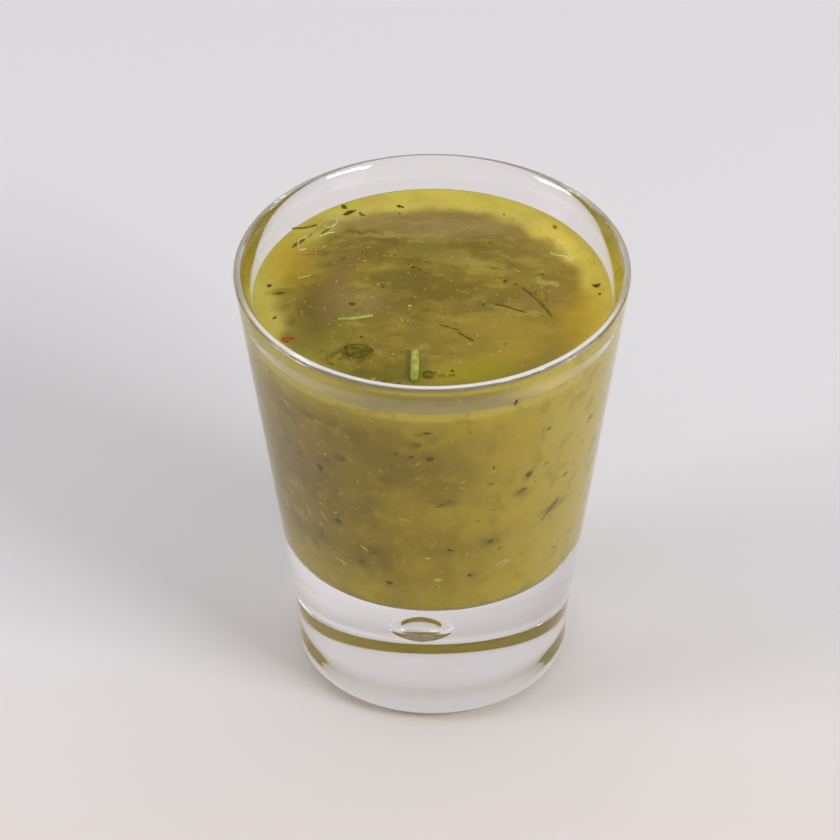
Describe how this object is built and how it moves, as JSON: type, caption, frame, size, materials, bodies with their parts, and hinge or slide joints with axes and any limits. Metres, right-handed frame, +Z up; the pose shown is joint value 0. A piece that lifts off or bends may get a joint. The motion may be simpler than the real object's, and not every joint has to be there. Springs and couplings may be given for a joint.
{
  "type": "shot glass of herb marinade",
  "caption": "Small tapered glass tumbler with a thick clear base that holds an air bubble, filled nearly to the rim with a yellow-green herb marinade.",
  "frame": {"origin": "on the table under the middle of the glass's foot", "axes": "+Z up along the axis of the glass; the glass is round, so +X and +Y are any two level directions, with -Y towards the viewer"},
  "size_m": [0.053, 0.053, 0.0637],
  "materials": {
    "clear_glass": "clear, smooth and polished",
    "herb_marinade": "wet, glossy yellow-green emulsion with chopped herbs"
  },
  "bodies": {
    "root": {"glass": "clear_glass", "marinade": "herb_marinade"}
  },
  "joints": []
}
